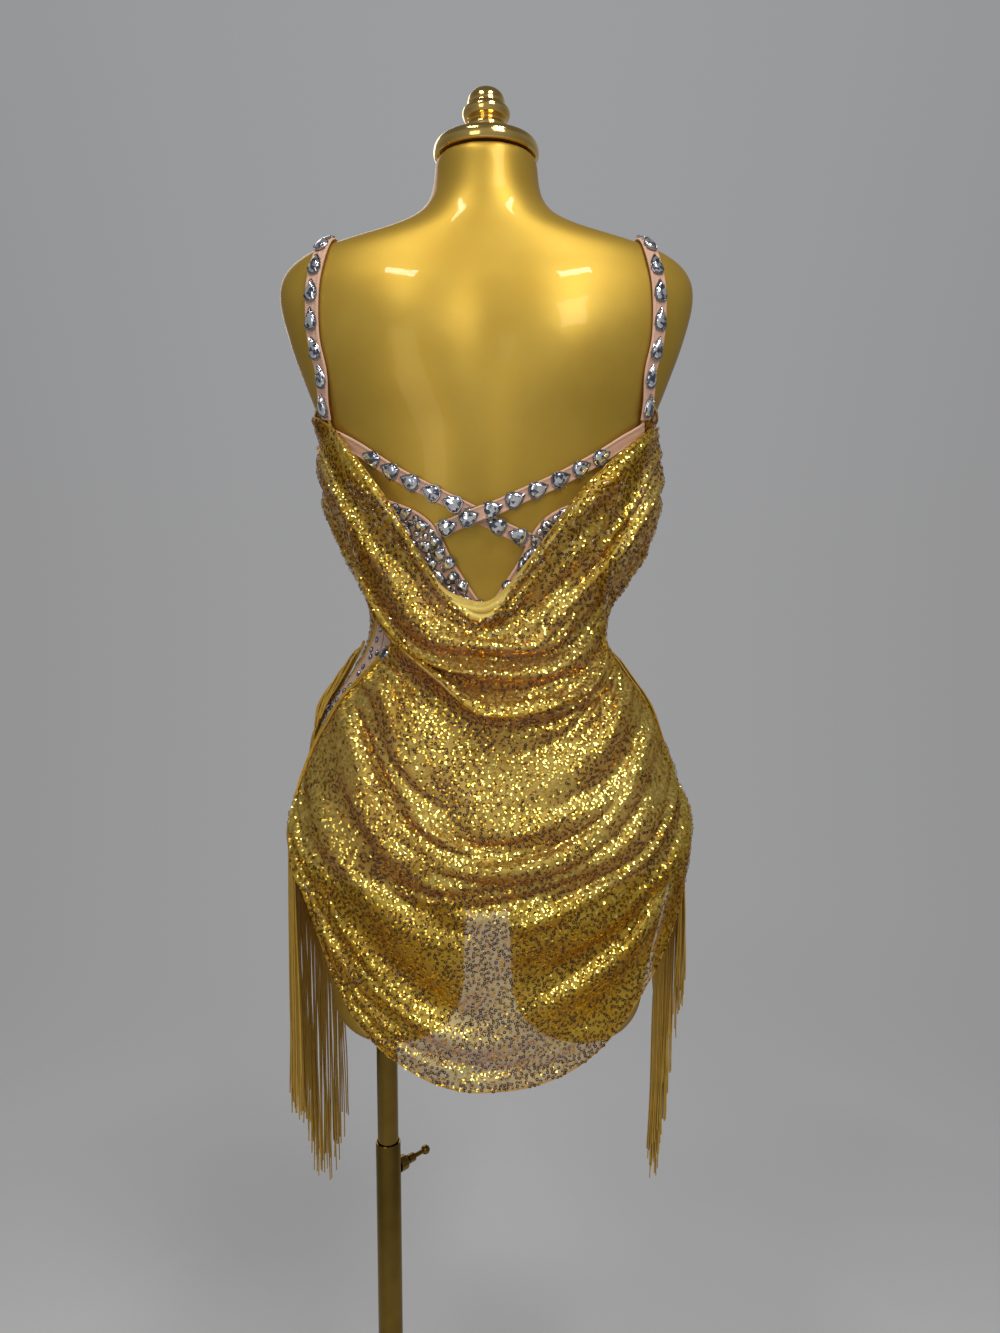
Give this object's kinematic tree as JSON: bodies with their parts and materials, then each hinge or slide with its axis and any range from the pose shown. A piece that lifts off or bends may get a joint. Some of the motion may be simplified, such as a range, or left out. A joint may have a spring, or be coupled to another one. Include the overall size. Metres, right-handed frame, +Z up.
{
  "type": "sequin bodysuit on a dress form",
  "caption": "Gold sequin dance bodysuit with a draped cowl back, jewelled straps and side fringe, on a limbless dress form with an adjustable pole stand.",
  "frame": {"origin": "floor point under the middle of the round base plate", "axes": "+Z up; the garment's front faces -Y and its open back +Y; +X is the wearer's left"},
  "size_m": [0.3988, 0.38, 1.5221],
  "materials": {
    "sequin_mesh": "gold mesh covered with small ring sequins",
    "skin_mesh": "matte stretch mesh with small crystals",
    "stone_band": "stretch mesh covered with faceted stones",
    "strap_elastic": "satin elastic with drop-shaped stones",
    "fringe_cord": "twisted viscose cord",
    "form_paint": "high gloss metallic gold paint",
    "cap_metal": "polished plate",
    "stand_metal": "dark bronze plate",
    "screw_metal": "bronze plate with a knurled collar"
  },
  "bodies": {
    "stand": {"base_plate": "stand_metal", "base_flange": "stand_metal", "outer_tube": "stand_metal", "clamp_boss": "stand_metal"},
    "mast": {"inner_tube": "stand_metal"},
    "clamp": {"clamp_screw": "screw_metal"},
    "dressed_form": {"form_torso": "form_paint", "neck_cap": "cap_metal", "finial": "cap_metal", "back_drape": "sequin_mesh", "front_panel": "sequin_mesh", "side_inset_left": "skin_mesh", "side_inset_right": "skin_mesh", "seat_panel": "skin_mesh", "crotch_gusset": "skin_mesh", "back_band_left": "stone_band", "back_band_right": "stone_band", "shoulder_strap_left": "strap_elastic", "shoulder_strap_right": "strap_elastic", "cross_strap_under": "strap_elastic", "cross_strap_over": "strap_elastic", "fringe_hem_left": "fringe_cord", "fringe_hem_right": "fringe_cord", "fringe_hip_left": "fringe_cord", "fringe_hip_right": "fringe_cord"}
  },
  "joints": [
    {"name": "height_slide", "type": "slide", "parent": "stand", "child": "mast", "axis": [0, 0, 1], "range_m": [-0.085, 0.22]},
    {"name": "form_swivel", "type": "hinge", "parent": "mast", "child": "dressed_form", "pos_m": [0.101, 0, 0.6], "axis": [0, 0, 1], "continuous": true},
    {"name": "clamp_screw_turn", "type": "hinge", "parent": "stand", "child": "clamp", "pos_m": [0.101, 0, 0.482], "axis": [-0.7071, -0.7071, 0], "range_deg": [0, 360]}
  ]
}
